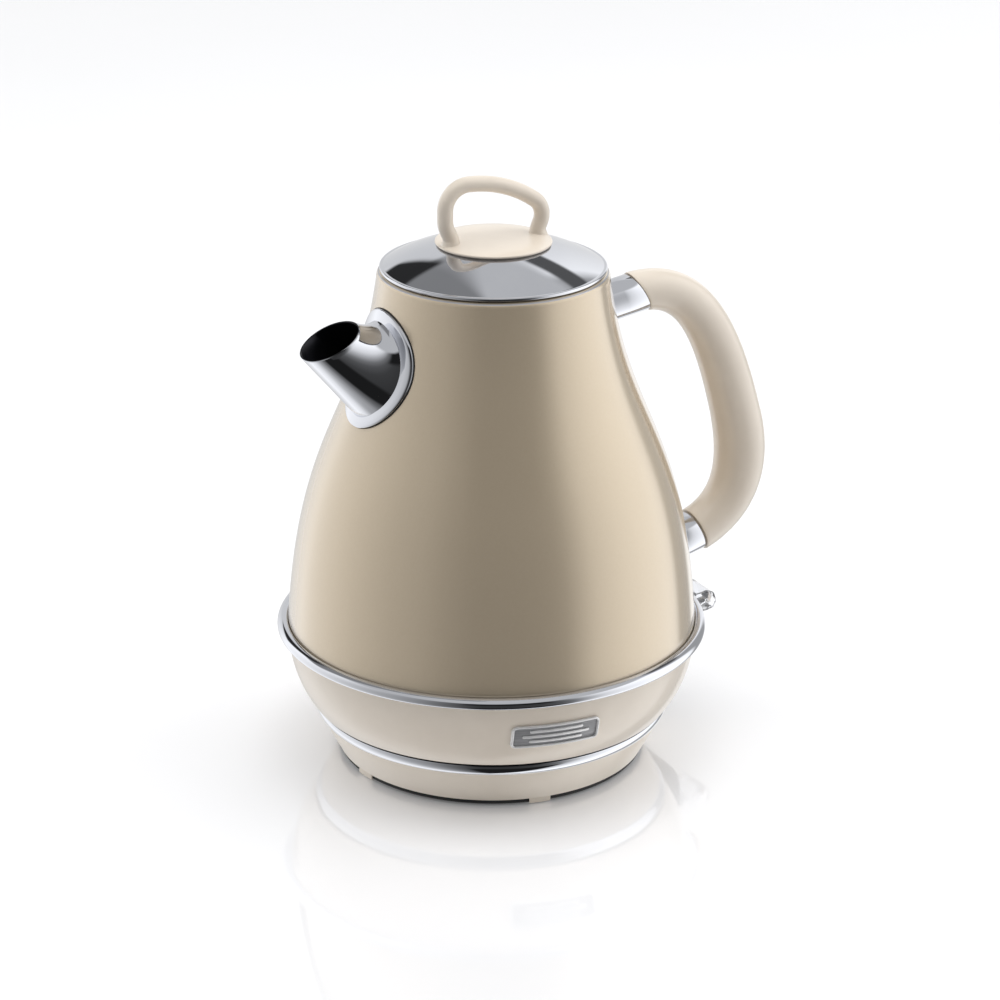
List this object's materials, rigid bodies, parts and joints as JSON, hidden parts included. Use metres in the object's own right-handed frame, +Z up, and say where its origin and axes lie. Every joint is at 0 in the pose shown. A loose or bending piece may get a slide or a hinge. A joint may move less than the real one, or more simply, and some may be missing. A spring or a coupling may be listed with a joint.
{
  "type": "electric kettle",
  "caption": "Cordless pear-shaped electric kettle with slanted spout, D handle, lift-off lid with loop knob and rocker switch, on a round power base.",
  "frame": {"origin": "On the kettle's vertical axis, at the centre of the flat boss under the power base, level with the faces of the rubber feet.", "axes": "+Z is up, -X is the side that the spout points to, +X is the handle's side, and the badge faces -Y."},
  "size_m": [0.2269, 0.184, 0.2551],
  "materials": {
    "body_paint": "gloss champagne enamel",
    "cream_plastic": "soft gloss cream moulding",
    "chrome": "polished",
    "steel": "brushed",
    "black_plastic": "fine texture",
    "rubber": "matte",
    "silicone": "satin translucent grey",
    "brass": "plain",
    "badge_grey": "satin grey",
    "clear_plastic": "clear acrylic",
    "wire_red": "plain",
    "lamp": "neon lamp glass"
  },
  "bodies": {
    "power_base": {"base_shell": "cream_plastic", "base_trim_ring": "chrome", "base_bottom_plate": "black_plastic", "rubber_feet": "rubber", "base_screws": "steel", "cord_gland": "black_plastic"},
    "swivel": {"base_socket": "black_plastic", "socket_contacts": "brass"},
    "kettle": {"body_shell": "body_paint", "neck_ring": "steel", "spout": "chrome", "spout_gasket": "rubber", "belt_ring": "chrome", "skirt": "cream_plastic", "badge_frame": "chrome", "badge_plate": "badge_grey", "handle_grip": "cream_plastic", "upper_ferrule": "chrome", "lower_ferrule": "chrome", "handle_backing_plates": "steel", "handle_screws": "steel", "heating_plate": "steel", "plate_seal": "silicone", "heater_element": "steel", "bimetal_disc": "steel", "control_body": "black_plastic", "connector_pins": "brass", "lead_wires": "wire_red", "indicator_lamp": "lamp", "switch_housing": "black_plastic", "switch_pivot": "steel", "bottom_cover": "black_plastic", "cover_screws": "steel"},
    "switch": {"switch_lever": "clear_plastic"},
    "filter": {"filter_frame": "black_plastic", "filter_mesh": "steel"},
    "lid": {"lid_cone": "chrome", "lid_cap": "cream_plastic", "lid_loop": "cream_plastic", "lid_plug": "steel", "lid_seal": "silicone", "lid_screws": "steel"}
  },
  "joints": [
    {"name": "kettle_turn", "type": "hinge", "parent": "power_base", "child": "swivel", "pos_m": [0, 0, 0.0185], "axis": [0, 0, 1], "continuous": true},
    {"name": "kettle_lift", "type": "slide", "parent": "swivel", "child": "kettle", "axis": [0, 0, 1], "range_m": [0, 0.06]},
    {"name": "lid_lift", "type": "slide", "parent": "kettle", "child": "lid", "axis": [0, 0, 1], "range_m": [0, 0.06]},
    {"name": "switch_rock", "type": "hinge", "parent": "kettle", "child": "switch", "pos_m": [0.0835, 0, 0.046], "axis": [0, 1, 0], "range_deg": [0, 14]},
    {"name": "filter_unclip", "type": "slide", "parent": "kettle", "child": "filter", "axis": [0.9397, 0, -0.342], "range_m": [0, 0.012]}
  ]
}
